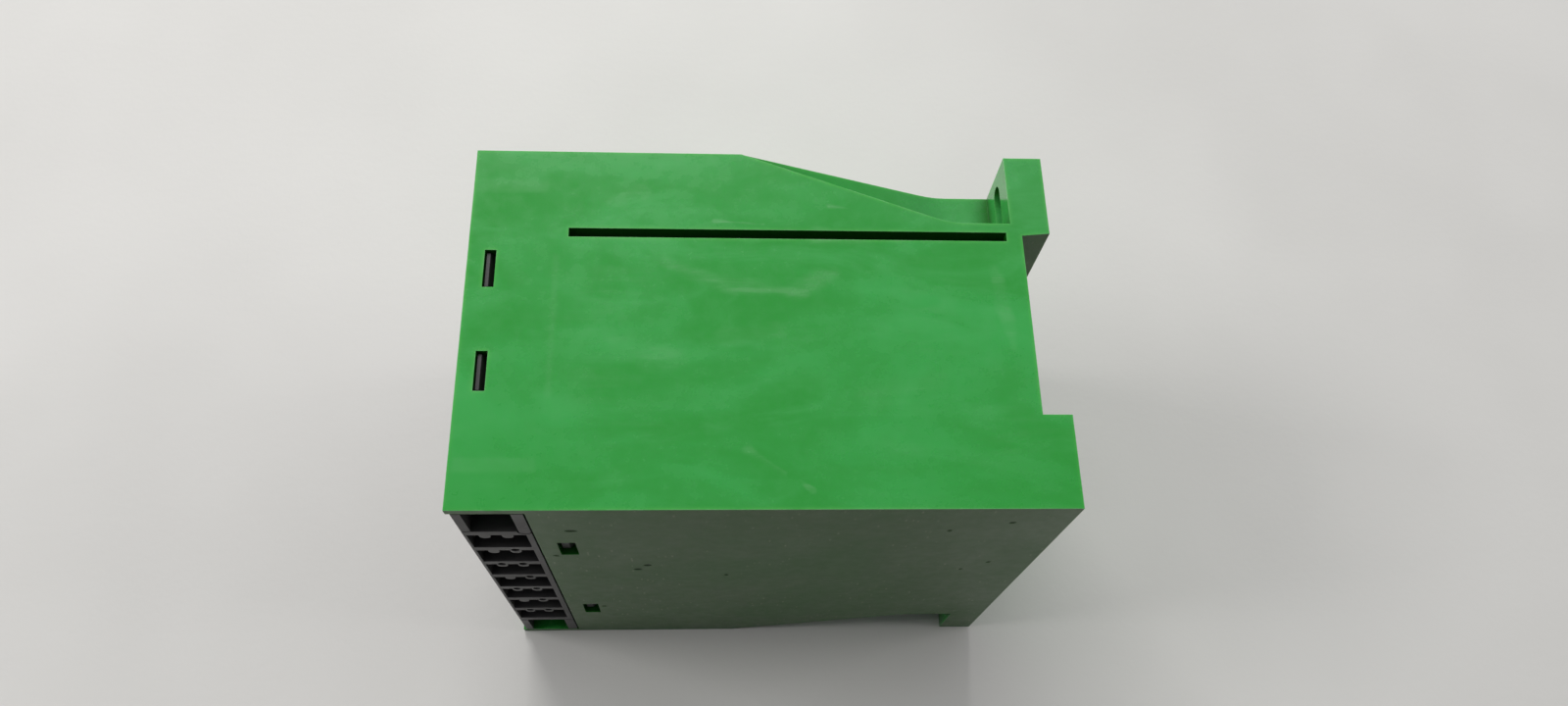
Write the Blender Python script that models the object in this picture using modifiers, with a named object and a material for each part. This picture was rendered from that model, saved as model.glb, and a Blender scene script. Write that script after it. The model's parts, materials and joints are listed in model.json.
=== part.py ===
"""A DIN-rail solid state relay, lying on one of its side walls.

Green tub housing, black front frame, two seven-way plug headers and the electronics inside.

Positions are in millimetres from the corner where the front edge, the near wall and the lower side wall
meet: X runs from the front to the rail, Y from the near header to the far one, and Z from the lower side
wall to the upper one. MM turns them into metres, and the empty "corner" carries every piece, so that the
origin of the world is the middle of the lower side wall.
"""

import math

import bmesh
import bpy
from mathutils import Vector

MM = 0.001
BEYOND = 5.0  # how far a cutter runs past the surface that it opens

# Housing
LENGTH = 107.2  # front edge to mounting plane
HEIGHT = 70.0  # near wall to far wall
WIDTH = 98.8  # lower side wall to upper side wall
WALL = 2.0
GAP = 0.3  # between pieces that touch
MOUTH = 13.0  # the near and far walls start this far behind the front edge
RAIL = (17.1, 52.9)  # the two sides of the rail recess
RAIL_FLOOR = 101.9
SEAT_RELIEF = (0.4, 18.5)  # depth of the step between the two rail seats, and its reach from the middle
BACK = RAIL_FLOOR - WALL  # inner face of the back wall
POCKET_Y = 14.5  # access pocket at a screw ear, across
POCKET_Z = 15.0  # and in depth from the side wall
POCKET_START = 49.5  # where its ramps start
POCKET_FULL = 88.6  # where they end
POCKET_KNEE = 2.8  # half the length of the rounding between a ramp and the level part
EAR_FRONT = 99.9
EAR_SLOT = (2.15, 2.9, 7.3)  # end radius, half the straight length, distance from the side wall
SLOT = ((17.8, 51.7), (98.9, 53.5))  # the long slot in the upper side wall
SIDE_WINDOW = ((3.05, 5.1), 7.5, 10.0)  # x range, size along Y, distance from the middle
WALL_WINDOW = ((16.3, 19.6), 8.4, 25.1)  # x range, size along Z, distance from the middle

# Front
FACE = 0.7  # front face of the frame and headers
POLES = 7
PITCH = 10.16
END_BAY = (2.35, 10.6)  # x range of the open bays beyond a header's ends
FRAME_PLATE = 4.4  # x of the back of the frame's front plate
BAY = (1.2, 11.6)  # x range of a bay
BAY_WIDTH = 8.1
BAY_DEPTH = 9.5
HEADER_DEPTH = 12.0
HEADER_ENDS = (12.6, 86.1)  # z of the near header's ends
STRIP_BACK = MOUTH - GAP  # back edge of the frame and headers
RIBS = (4.3, 8.3)  # x of the coding ribs
RIB_RADIUS = 1.0
RIB_DROP = 1.9
CODING_HOLE = (0.78, 0.8, 0.15)  # half width, half height, and rise above the bay's edge
HOLLOW_RIBS = ((), (8.3,), RIBS, (8.3,), RIBS, (8.3,), RIBS)  # by bay, from the upper end
POST_TONGUE = ((10.6, 12.7), 84.9, 0.9, 3.0)  # x range, lower end, corner radius, depth
HEADER_CATCH = (16.6, 18.0, 19.3)  # x of the shoulder, of the ramp's start and of its end
HEADER_CATCH_DEPTH = (1.1, 2.3)  # y of the catch's face and of its root
PIN = 1.0
PIN_X = (BAY[0] + BAY[1]) / 2
PIN_TURN = 13.4  # y of the pin's leg
WINDOW = ((17.0, 53.0), (14.0, 84.8))  # y and z of the opening for the cover
COVER_SEAT = 2.9  # x of the ledge that the cover rests on
COVER_LEDGE = 2.0  # width of that ledge
STRIP = ((-13.0, 13.0), (-3.0, 5.0), 0.7)  # y and z from the middle, thickness
LAMPS = (18.0, 25.0)  # z of the status lamps from the middle
LIGHT_HOLE = 1.8

# Boards and switching stage
BOARD = 1.6
FRONT_BOARD = 14.6
POWER_BOARD = 19.6
CONTROL_BOARD = 49.4
BOARD_ENDS = (20.0, 96.0)
GUIDE_RIB = 1.5
PLATE = (31.0, 35.0)  # heat sink base
FIN_TIP = 47.0
SINK_ENDS = (24.0, 94.0)
SINK_EDGES = (2.6, 96.2)  # z of the base's edges, in the guides
FINS = (8.0, 90.8)  # z of the outermost fins
FIN_COUNT = 9
FIN = 1.8
MODULE = ((40.0, 61.0), (25.0, 29.9), 16.0)  # x range, y range, size along Z
MODULE_ROWS = (24.0, 49.4, 74.8)
MODULE_HOLE = 55.5
LEAD_PITCH = 5.4
LEAD = (0.6, 1.2)  # thickness and width of a module's lead
SCREW_HOLE = (1.8, 1.65)  # radius in the module and pad, and in the sink
POWER_ROWS = (32.0, 54.0, 76.0)  # z of the varistors, capacitors and resistors
VARISTOR_X = 84.0
CAPACITOR_X = (64.0, 71.0)
RESISTOR_X = 46.0
LEG_RADIUS = 0.4
OPTOCOUPLER_ROWS = (26.0, 41.0, 56.0)
OPTOCOUPLER_X = (28.0, 37.0)
LEG_PITCH = 2.54
SUPPLY_CAPACITOR = (62.0, 34.0)  # x and z

# Rail catch
CATCH = ((103.1, 105.3), (51.4, 69.7), 22.0)  # x range, y range, size along Z
CATCH_STOP = (62.8, 64.8)  # the stop post inside the catch's window
CATCH_WINDOW = (55.8, 65.1)
SPRING_RADIUS = 1.45
SPRING_WIRE = 0.25
SPRING_TURNS = 5

MIDDLE_Y = HEIGHT / 2
MIDDLE_Z = WIDTH / 2
PINS_Z = [MIDDLE_Z + PITCH * (POLES // 2 - pole) for pole in range(POLES)]

MATERIALS = {
    "housing_plastic": ((0.055, 0.36, 0.075), 0.35, 0.0),
    "frame_plastic": ((0.018, 0.018, 0.018), 0.5, 0.0),
    "cover_plastic": ((0.05, 0.055, 0.055), 0.3, 0.0),
    "strip_plastic": ((0.8, 0.8, 0.76), 0.5, 0.0),
    "lens": ((0.75, 0.08, 0.04), 0.2, 0.0),
    "tinned_metal": ((0.75, 0.75, 0.72), 0.3, 1.0),
    "board": ((0.03, 0.16, 0.07), 0.4, 0.0),
    "aluminium": ((0.6, 0.61, 0.62), 0.4, 1.0),
    "module_resin": ((0.015, 0.015, 0.017), 0.45, 0.0),
    "pad_rubber": ((0.45, 0.47, 0.5), 0.7, 0.0),
    "varistor_resin": ((0.03, 0.09, 0.35), 0.4, 0.0),
    "capacitor_resin": ((0.55, 0.35, 0.06), 0.4, 0.0),
    "resistor_ceramic": ((0.55, 0.5, 0.38), 0.6, 0.0),
    "spring_steel": ((0.5, 0.5, 0.5), 0.3, 1.0),
}

# How a flat outline is turned to lie in each plane; its thickness runs along the third axis.
PLANES = {
    "XY": (0.0, 0.0, 0.0),
    "XZ": (math.pi / 2, 0.0, 0.0),
    "YZ": (math.pi / 2, 0.0, math.pi / 2),
}


def clear_scene():
    for obj in list(bpy.data.objects):
        bpy.data.objects.remove(obj)


def new_collection(name, hidden=False):
    made = bpy.data.collections.new(name)
    made.hide_render = hidden
    bpy.context.scene.collection.children.link(made)
    return made


def new_material(name, colour, roughness, metallic):
    made = bpy.data.materials.new(name)
    made.use_nodes = True
    shader = made.node_tree.nodes["Principled BSDF"]
    shader.inputs["Base Color"].default_value = (*colour, 1.0)
    shader.inputs["Roughness"].default_value = roughness
    shader.inputs["Metallic"].default_value = metallic
    made.diffuse_color = (*colour, 1.0)
    return made


clear_scene()
RELAY = new_collection("solid_state_relay")
CUTTERS = new_collection("cutters", hidden=True)
FINISH = {name: new_material(name, *values) for name, values in MATERIALS.items()}
CORNER = bpy.data.objects.new("corner", None)
CORNER.location = Vector((-LENGTH / 2, -HEIGHT / 2, 0.0)) * MM
RELAY.objects.link(CORNER)


def add(name, mesh, location, finish=None, rotation=(0.0, 0.0, 0.0)):
    """A piece of the relay, or without a finish a helper shape that the render leaves out."""
    obj = bpy.data.objects.new(name, mesh)
    obj.location = Vector(location) * MM
    obj.rotation_euler = rotation
    obj.parent = CORNER
    if finish:
        obj.data.materials.append(FINISH[finish])
        RELAY.objects.link(obj)
    else:
        obj.hide_render = True
        obj.display_type = "WIRE"
        CUTTERS.objects.link(obj)
    return obj


def mesh_from(name, bm):
    bmesh.ops.recalc_face_normals(bm, faces=bm.faces)
    mesh = bpy.data.meshes.new(name)
    bm.to_mesh(mesh)
    bm.free()
    return mesh


def block(name, low, high, finish=None):
    low, high = Vector(low), Vector(high)
    bm = bmesh.new()
    bmesh.ops.create_cube(bm, size=MM)
    bmesh.ops.scale(bm, vec=high - low, verts=bm.verts)
    return add(name, mesh_from(name, bm), (low + high) / 2, finish)


def rod(name, centre, radius, length, axis, finish=None, sides=20):
    bm = bmesh.new()
    bmesh.ops.create_cone(
        bm,
        cap_ends=True,
        segments=sides,
        radius1=radius * MM,
        radius2=radius * MM,
        depth=length * MM,
    )
    mesh = mesh_from(name, bm)
    turn = Vector((0, 0, 1)).rotation_difference(Vector(axis)).to_euler()
    return add(name, mesh, centre, finish, turn)


def hull(name, points, finish=None):
    bm = bmesh.new()
    for point in points:
        bm.verts.new(Vector(point) * MM)
    made = bmesh.ops.convex_hull(bm, input=bm.verts)
    bmesh.ops.delete(bm, geom=made["geom_interior"], context="VERTS")
    bmesh.ops.dissolve_limit(bm, angle_limit=0.001, verts=bm.verts, edges=bm.edges)
    return add(name, mesh_from(name, bm), (0, 0, 0), finish)


def mesh_of_curve(name, curve):
    """The curve's mesh, with its loose caps welded on."""
    holder = bpy.data.objects.new(name, curve)
    CUTTERS.objects.link(holder)
    bpy.context.view_layer.update()
    graph = bpy.context.evaluated_depsgraph_get()
    mesh = bpy.data.meshes.new_from_object(holder.evaluated_get(graph))
    mesh.materials.clear()
    bpy.data.objects.remove(holder)
    bm = bmesh.new()
    bm.from_mesh(mesh)
    bmesh.ops.remove_doubles(bm, verts=bm.verts, dist=0.001 * MM)
    bmesh.ops.recalc_face_normals(bm, faces=bm.faces)
    bm.to_mesh(mesh)
    bm.free()
    return mesh


def outline(name, points, plane, low, high, finish=None):
    """A flat outline in one plane, filled and extruded from low to high along the third axis."""
    bm = bmesh.new()
    corners = [bm.verts.new((u * MM, v * MM, (low - high) / 2 * MM)) for u, v in points]
    flat = bm.faces.new(corners)
    raised = bmesh.ops.extrude_face_region(bm, geom=[flat], use_keep_orig=True)
    tops = [item for item in raised["geom"] if isinstance(item, bmesh.types.BMVert)]
    bmesh.ops.translate(bm, vec=(0, 0, (high - low) * MM), verts=tops)
    middle = (low + high) / 2
    location = {
        "XY": (0.0, 0.0, middle),
        "XZ": (0.0, middle, 0.0),
        "YZ": (middle, 0.0, 0.0),
    }[plane]
    return add(name, mesh_from(name, bm), location, finish, PLANES[plane])


def wire(name, points, radius, finish=None, sides=1):
    """A round wire along the points."""
    curve = bpy.data.curves.new(name, "CURVE")
    curve.dimensions = "3D"
    curve.bevel_depth = radius * MM
    curve.bevel_resolution = sides
    curve.use_fill_caps = True
    spline = curve.splines.new("POLY")
    spline.points.add(len(points) - 1)
    for slot, point in zip(spline.points, points):
        slot.co = (*(Vector(point) * MM), 1.0)
    return add(name, mesh_of_curve(name, curve), (0, 0, 0), finish)


def turned(name, profile, place, axis, finish=None, steps=20):
    """A turned shape: (radius, height) points from the top down, and the axis that its top points along."""
    mesh = bpy.data.meshes.new(name)
    corners = [(radius * MM, 0.0, height * MM) for radius, height in profile]
    edges = [(i, i + 1) for i in range(len(corners) - 1)]
    mesh.from_pydata(corners, edges, [])
    turn = Vector((0, 0, 1)).rotation_difference(Vector(axis)).to_euler()
    obj = add(name, mesh, place, finish, turn)
    screw = obj.modifiers.new("turn", "SCREW")
    screw.axis = "Z"
    screw.steps = steps
    screw.render_steps = steps
    screw.use_merge_vertices = True
    screw.merge_threshold = 0.00001
    return obj


def boolean(target, tool, operation):
    modifier = target.modifiers.new(tool.name, "BOOLEAN")
    modifier.operation = operation
    modifier.object = tool
    modifier.solver = "EXACT"


def cut(target, *tools):
    for tool in tools:
        boolean(target, tool, "DIFFERENCE")


def join(target, *tools):
    for tool in tools:
        boolean(target, tool, "UNION")


def soften(obj, width, segments=1):
    bevel = obj.modifiers.new("soften", "BEVEL")
    bevel.width = width * MM
    bevel.segments = segments
    bevel.limit_method = "ANGLE"


def arc(centre, radius, start, end, steps):
    """Points round part of a circle, the angles in degrees."""
    angles = [math.radians(start + (end - start) * i / steps) for i in range(steps + 1)]
    return [(centre[0] + radius * math.cos(a), centre[1] + radius * math.sin(a)) for a in angles]


def half_turn(point):
    """The same place after half a turn about the middle line along X."""
    x, y, z = point
    return (x, HEIGHT - y, WIDTH - z)


def both_ends(make, name, *corners):
    """One helper at the upper far corner, and its twin half a turn round."""
    low, high = corners
    turned_low, turned_high = half_turn(high), half_turn(low)
    other_low = (low[0], turned_low[1], turned_low[2])
    other_high = (high[0], turned_high[1], turned_high[2])
    return [make(name + "_upper", low, high), make(name + "_lower", other_low, other_high)]


# ---------------------------------------------------------------- housing


def pocket_points(grow):
    """The access pocket as a box that runs out in a point: grow moves its inner faces into the housing."""
    over = 6.0  # how far the shape runs past the outside of the housing
    ramp = POCKET_FULL - POCKET_START
    apex_x = POCKET_START - ramp * over / POCKET_Y - grow * ramp / POCKET_Y
    points = [(apex_x, HEIGHT + over, WIDTH + over)]
    knee_steps = 4
    stations = []
    for step in range(knee_steps + 1):
        left = 2 * POCKET_KNEE * (1 - step / knee_steps)
        stations.append((POCKET_FULL + POCKET_KNEE - left, 1 - left**2 / (4 * POCKET_KNEE * ramp)))
    stations.append((EAR_FRONT if grow == 0 else EAR_FRONT + 1.0, 1.0))
    for x, depth in stations:
        for y in (HEIGHT - POCKET_Y * depth - grow, HEIGHT + over):
            for z in (WIDTH - POCKET_Z * depth - grow, WIDTH + over):
                points.append((x, y, z))
    return points


def ear_slot(name, upper):
    """The slotted screw hole through an ear, long way across the housing."""
    radius, reach, inset = EAR_SLOT
    middle = (HEIGHT - POCKET_Y / 2, WIDTH - inset)
    right = arc((middle[0] + reach, middle[1]), radius, -90, 90, 8)
    left = arc((middle[0] - reach, middle[1]), radius, 90, 270, 8)
    points = right + left
    if not upper:
        points = [(HEIGHT - y, WIDTH - z) for y, z in points]
    return outline(name, points, "YZ", EAR_FRONT - 2.0, LENGTH + 2.0)


def make_housing():
    shell = block("housing_shell", (0, 0, 0), (LENGTH, HEIGHT, WIDTH), "housing_plastic")
    cavity = block("cavity", (-BEYOND, WALL, WALL), (BACK, HEIGHT - WALL, WIDTH - WALL))
    mouth = block("mouth", (-BEYOND, -BEYOND, WALL), (MOUTH, HEIGHT + BEYOND, WIDTH - WALL))
    cut(shell, cavity, mouth)

    # Hollow feet, but solid round the rail catch and behind the fixed hook.
    foot_end = LENGTH - WALL
    near_foot = ((BACK - 1, WALL, 19.0), (foot_end, RAIL[0] - WALL, WIDTH - WALL))
    far_low = ((BACK - 1, RAIL[1] + WALL, WALL), (foot_end, HEIGHT - WALL, 34.5))
    far_high = ((BACK - 1, RAIL[1] + WALL, 64.3), (foot_end, HEIGHT - WALL, WIDTH - 19.0))
    for name, corners in (("near_foot", near_foot), ("far_foot_low", far_low), ("far_foot_high", far_high)):
        cut(shell, block(name, *corners))

    # The pockets' inner walls, the long ribs that carry on from them, and the board guides.
    for upper in (True, False):
        end = "upper" if upper else "lower"
        liner = hull("pocket_liner_" + end, [p if upper else half_turn(p) for p in pocket_points(WALL)])
        trim_low = (POCKET_START - 30, 0.5, 0.5)
        trim_high = (EAR_FRONT + 1, HEIGHT - 0.5, WIDTH - 0.5)
        boolean(liner, block("pocket_trim_" + end, trim_low, trim_high), "INTERSECT")
        join(shell, liner)
    rib_low = (SLOT[0][0], SLOT[1][1], WIDTH - POCKET_Z - WALL)
    rib_high = (BACK + 1, HEIGHT - POCKET_Y, WIDTH - 0.5)
    join(shell, *both_ends(block, "long_rib", rib_low, rib_high))
    for index, (low_y, high_y) in enumerate(guide_ribs()):
        for side, (low_z, high_z) in (("lower", (1.0, 3.5)), ("upper", (WIDTH - 3.5, WIDTH - 1.0))):
            guide = f"guide_{index}_{side}"
            join(shell, block(guide, (17.0, low_y, low_z), (BACK + 1, high_y, high_z)))

    # Everything that opens outwards.
    for upper in (True, False):
        end = "upper" if upper else "lower"
        points = [p if upper else half_turn(p) for p in pocket_points(0.0)]
        cut(shell, hull("pocket_" + end, points), ear_slot("ear_slot_" + end, upper))
    slot_low = (*SLOT[0], WIDTH - WALL - 1.5)
    slot_high = (*SLOT[1], WIDTH + BEYOND)
    cut(shell, *both_ends(block, "long_slot", slot_low, slot_high))
    open_end = LENGTH + BEYOND
    recess = [(RAIL_FLOOR, RAIL[0]), (open_end, RAIL[0]), (open_end, RAIL[1] + 1.0), (RAIL_FLOOR, RAIL[1])]
    cut(shell, outline("rail_recess", recess, "XY", -BEYOND, WIDTH + BEYOND))
    depth, reach = SEAT_RELIEF
    relief_low = (RAIL_FLOOR - depth, RAIL[0], MIDDLE_Z - reach)
    cut(shell, block("seat_relief", relief_low, (RAIL_FLOOR + 1, RAIL[1], MIDDLE_Z + reach)))
    make_windows(shell)
    make_rail_fittings(shell)
    return shell


def guide_ribs():
    """Y ranges of the ribs on either side of the control board, the heat sink and the power board."""
    ribs = []
    for low, high in ((POWER_BOARD, POWER_BOARD + BOARD), PLATE, (CONTROL_BOARD, CONTROL_BOARD + BOARD)):
        ribs.append((low - GAP - GUIDE_RIB, low - GAP))
        ribs.append((high + GAP, high + GAP + GUIDE_RIB))
    return ribs[:-1]  # the long rib stands where the last one would


def make_windows(shell):
    (low_x, high_x), size, offset = SIDE_WINDOW
    for index, middle in enumerate((MIDDLE_Y - offset, MIDDLE_Y + offset)):
        low = (low_x, middle - size / 2, -BEYOND)
        high = (high_x, middle + size / 2, WIDTH + BEYOND)
        cut(shell, block(f"side_window_{index}", low, high))
    (low_x, high_x), size, offset = WALL_WINDOW
    for index, middle in enumerate((MIDDLE_Z - offset, MIDDLE_Z + offset)):
        low = (low_x, -BEYOND, middle - size / 2)
        high = (high_x, HEIGHT + BEYOND, middle + size / 2)
        cut(shell, block(f"wall_window_{index}", low, high))


def make_rail_fittings(shell):
    """The fixed hook on the near foot, and the channel, spring groove and stop post of the catch."""
    (low_x, high_x), _, width = CATCH
    hook = [(low_x, RAIL[0] - 1), (high_x, RAIL[0] - 1), (high_x, RAIL[0] + 0.5), (low_x + 1, RAIL[0] + 1.5)]
    hook.append((low_x, RAIL[0] + 1.5))
    join(shell, outline("fixed_hook", hook, "XY", MIDDLE_Z - 17, MIDDLE_Z + 17))
    half = width / 2 + GAP
    channel = block("catch_channel", (low_x - GAP, 50, MIDDLE_Z - half), (high_x + GAP, 75, MIDDLE_Z + half))
    spring_x = (low_x + high_x) / 2
    reach = SPRING_RADIUS + SPRING_WIRE + GAP
    groove_low = (spring_x - reach, CATCH_WINDOW[0] - GAP, MIDDLE_Z - reach - 0.1)
    groove_high = (spring_x + reach, CATCH_STOP[0], MIDDLE_Z + reach + 0.1)
    cut(shell, channel, block("spring_groove", groove_low, groove_high))
    post_low = (low_x - 1, CATCH_STOP[0], MIDDLE_Z - 3.7)
    post_high = (high_x - 0.2, CATCH_STOP[1], MIDDLE_Z + 3.7)
    join(shell, block("stop_post", post_low, post_high))


# ---------------------------------------------------------------- rail catch


def make_catch():
    (low_x, high_x), (low_y, high_y), width = CATCH
    half = width / 2
    nose = [(low_x, low_y), (low_x + 0.8, low_y), (high_x, low_y + 1.2), (high_x, high_y), (low_x, high_y)]
    catch = outline("rail_catch", nose, "XY", MIDDLE_Z - half, MIDDLE_Z + half, "frame_plastic")
    window = block("catch_window", (90, CATCH_WINDOW[0], MIDDLE_Z - 4), (120, CATCH_WINDOW[1], MIDDLE_Z + 4))
    slot = block("driver_slot", (90, 66.7, MIDDLE_Z - 4), (120, 68.2, MIDDLE_Z + 4))
    cut(catch, window, slot)
    first = CATCH_WINDOW[0] + GAP + SPRING_WIRE
    last = CATCH_STOP[0] - GAP - SPRING_WIRE
    steps = 12 * SPRING_TURNS
    coil = []
    for i in range(steps + 1):
        angle = 2 * math.pi * SPRING_TURNS * i / steps
        x = (low_x + high_x) / 2 + SPRING_RADIUS * math.cos(angle)
        z = MIDDLE_Z + SPRING_RADIUS * math.sin(angle)
        coil.append((x, first + (last - first) * i / steps, z))
    wire("catch_spring", coil, SPRING_WIRE, "spring_steel", sides=1)


# ---------------------------------------------------------------- front


def bay_outline(middle):
    """A plug bay in the XZ plane, with two coding ribs that hang from its upper edge."""
    low_x, high_x = BAY
    low = middle - BAY_WIDTH / 2
    high = middle + BAY_WIDTH / 2
    points = [(low_x, high)]
    for x in RIBS:
        points.append((x - RIB_RADIUS, high))
        points.extend(arc((x, high - RIB_DROP + RIB_RADIUS), RIB_RADIUS, 180, 360, 6))
        points.append((x + RIB_RADIUS, high))
    points.extend([(high_x, high), (high_x, low), (low_x, low)])
    return points


def coding_hole(name, x, middle):
    """The upright oval hole along a hollow coding rib, for a coding pin."""
    half_width, half_height, rise = CODING_HOLE
    centre = middle + BAY_WIDTH / 2 + rise
    turns = [math.radians(30 * step) for step in range(12)]
    points = [(x + half_width * math.cos(turn), centre + half_height * math.sin(turn)) for turn in turns]
    return outline(name, points, "XZ", -2.0, BAY_DEPTH)


def post_tongue(name, grow):
    """The rounded lower end of the frame's upper post, which laps over the header's end."""
    (low_x, high_x), low_z, radius, depth = POST_TONGUE
    low_x, high_x, low_z, radius = low_x - grow, high_x + grow, low_z - grow, radius + grow
    top = HEADER_ENDS[1] + 1.0
    points = [(low_x, top)]
    points.extend(arc((low_x + radius, low_z + radius), radius, 180, 270, 4))
    points.extend(arc((high_x - radius, low_z + radius), radius, 270, 360, 4))
    points.append((high_x, top))
    return outline(name, points, "XZ", -2.0 if grow else 0.0, depth + grow)


def make_header(side, frame):
    """The near header, or the same header half a turn round. Its cutters turn with it."""
    seat = bpy.data.objects.new("header_seat_" + side, None)
    seat.parent = CORNER
    RELAY.objects.link(seat)
    if side == "far":
        seat.rotation_euler = (math.pi, 0.0, 0.0)
        seat.location = Vector((0.0, HEIGHT, WIDTH)) * MM
    low, high = (FACE, 0, HEADER_ENDS[0]), (STRIP_BACK, HEADER_DEPTH, HEADER_ENDS[1])
    header = block("header_" + side, low, high, "frame_plastic")
    helpers = []
    for pole, middle in enumerate(PINS_Z):
        bay = outline(f"bay_{side}_{pole + 1}", bay_outline(middle), "XZ", -2.0, BAY_DEPTH)
        reach = PIN / 2 + GAP
        hole = block(
            f"pin_hole_{side}_{pole + 1}",
            (PIN_X - reach, BAY_DEPTH - 1, middle - reach),
            (PIN_X + reach, HEADER_DEPTH + 1, middle + reach),
        )
        cut(header, bay, hole)
        helpers.extend((bay, hole))
        for x in HOLLOW_RIBS[pole]:
            rib_hole = coding_hole(f"coding_hole_{side}_{pole + 1}_{RIBS.index(x) + 1}", x, middle)
            cut(header, rib_hole)
            helpers.append(rib_hole)
    shoulder, ramp, ramp_end = HEADER_CATCH
    face, root = HEADER_CATCH_DEPTH
    inner, tip = root + 1.5, ramp_end + 1.1
    _, size, offset = WALL_WINDOW
    half = size / 2 - 2 * GAP
    for index, middle in enumerate((MIDDLE_Z - offset, MIDDLE_Z + offset)):
        arm = [(12.0, root), (shoulder, root), (shoulder, face), (ramp, face)]
        arm.extend([(ramp_end, root), (tip, root + 0.2), (tip, inner), (12.0, inner)])
        catch = outline(f"header_catch_{side}_{index}", arm, "XY", middle - half, middle + half)
        join(header, catch)
        helpers.append(catch)
    notch = post_tongue("tongue_notch_" + side, GAP)
    tongue = post_tongue("post_tongue_" + side, 0.0)
    cut(header, notch)
    join(frame, tongue)
    helpers.extend((notch, tongue))
    for piece in [header, *helpers]:
        piece.parent = seat
    return seat


def make_pin(name, middle, seat):
    """A square contact: a chamfered prong in the bay, and a leg through the front board."""
    half = PIN / 2
    tip, leg_end = 3.6, 17.6
    points = [
        (PIN_X - half, PIN_TURN + half),
        (PIN_X - half, tip + 0.8),
        (PIN_X - half * 0.4, tip),
        (PIN_X + half * 0.4, tip),
        (PIN_X + half, tip + 0.8),
        (PIN_X + half, PIN_TURN - half),
        (leg_end, PIN_TURN - half),
        (leg_end, PIN_TURN + half),
    ]
    pin = outline(name, points, "XY", middle - half, middle + half, "tinned_metal")
    pin.parent = seat


def make_frame():
    edge = WALL + GAP
    frame = block("front_frame", (FACE, 0, edge), (STRIP_BACK, HEIGHT, WIDTH - edge), "frame_plastic")
    seat_floor = HEIGHT - HEADER_DEPTH - 2.5
    seat_low = WIDTH - HEADER_ENDS[1] - GAP
    seat_high = WIDTH - HEADER_ENDS[0] + GAP
    (bay_front, bay_back), top, back = END_BAY, HEIGHT + BEYOND, STRIP_BACK + BEYOND
    cut(frame, *both_ends(block, "header_room", (-BEYOND, seat_floor, seat_low), (back, top, seat_high)))
    bays = (("end_bay_a", -BEYOND, seat_low + 1), ("end_bay_b", seat_high - 1, WIDTH + BEYOND))
    for name, low_z, high_z in bays:
        cut(frame, *both_ends(block, name, (bay_front, seat_floor, low_z), (bay_back, top, high_z)))
    hollow_y = HEIGHT - seat_floor + WALL
    hollow_low = (FRAME_PLATE, hollow_y, edge + WALL)
    cut(frame, block("frame_hollow", hollow_low, (back, HEIGHT - hollow_y, WIDTH - edge - WALL)))
    (low_y, high_y), (low_z, high_z) = WINDOW
    cut(frame, block("cover_seat", (-BEYOND, low_y, low_z), (COVER_SEAT, high_y, high_z)))
    opening_low = (-BEYOND, low_y + COVER_LEDGE, low_z + COVER_LEDGE)
    opening_high = (back, high_y - COVER_LEDGE, high_z - COVER_LEDGE)
    cut(frame, block("cover_opening", opening_low, opening_high))
    size, offset = SIDE_WINDOW[1] - 0.8, SIDE_WINDOW[2]
    for index, middle in enumerate((MIDDLE_Y - offset, MIDDLE_Y + offset)):
        for end, sign, base in (("upper", 1, WIDTH - edge), ("lower", -1, edge)):
            inside = base - sign * 1.0
            outside = base + sign * 1.7
            points = [(3.35, inside), (5.0, inside), (5.0, base + sign * 0.1)]
            points.extend([(4.0, outside), (3.35, outside)])
            name = f"frame_catch_{index}_{end}"
            join(frame, outline(name, points, "XZ", middle - size / 2, middle + size / 2))
    return frame


def make_cover():
    (low_y, high_y), (low_z, high_z) = WINDOW
    low_y, high_y = low_y + GAP, high_y - GAP
    low_z, high_z = low_z + GAP, high_z - GAP
    cover = block("front_cover", (FACE, low_y, low_z), (COVER_SEAT - GAP, high_y, high_z), "cover_plastic")
    inset = COVER_LEDGE + GAP
    for index, (base, sign) in enumerate(((low_z + inset, -1), (high_z - inset, 1))):
        tab = [
            (2.0, base),
            (2.0, base - sign * 1.2),
            (7.0, base - sign * 1.2),
            (7.0, base),
            (4.9, base + sign * 0.9),
            (4.9, base),
        ]
        join(cover, outline(f"cover_tab_{index}", tab, "XZ", MIDDLE_Y - 6, MIDDLE_Y + 6))
    strip_y, strip_z, strip_thickness = STRIP
    strip_low = (FACE, MIDDLE_Y + strip_y[0], MIDDLE_Z + strip_z[0])
    strip_high = (FACE + strip_thickness, MIDDLE_Y + strip_y[1], MIDDLE_Z + strip_z[1])
    groove = block(
        "strip_groove",
        (FACE - 1, strip_low[1] - GAP, strip_low[2] - GAP),
        (strip_high[0] + GAP, strip_high[1] + GAP, strip_high[2] + GAP),
    )
    cut(cover, groove)
    block("marking_strip", strip_low, strip_high, "strip_plastic")
    for index, lamp_z in enumerate(LAMPS):
        z = MIDDLE_Z + lamp_z
        cut(cover, rod(f"light_hole_{index}", (2, MIDDLE_Y, z), LIGHT_HOLE, 10, (1, 0, 0)))
        guide = [(0, 8.0), (1.1, 7.9), (1.5, 7.4), (1.5, 0), (0, 0)]
        turned(f"light_guide_{index + 1}", guide, (FACE + 7.8, MIDDLE_Y, z), (-1, 0, 0), "lens", 16)
        lamp = [(0, 5.2), (0.9, 4.9), (1.35, 4.2), (1.5, 3.4), (1.5, 1.0), (1.8, 1.0), (1.8, 0), (0, 0)]
        turned(f"led_{index + 1}", lamp, (FRONT_BOARD - GAP, MIDDLE_Y, z), (-1, 0, 0), "lens", 16)


# ---------------------------------------------------------------- boards


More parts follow.
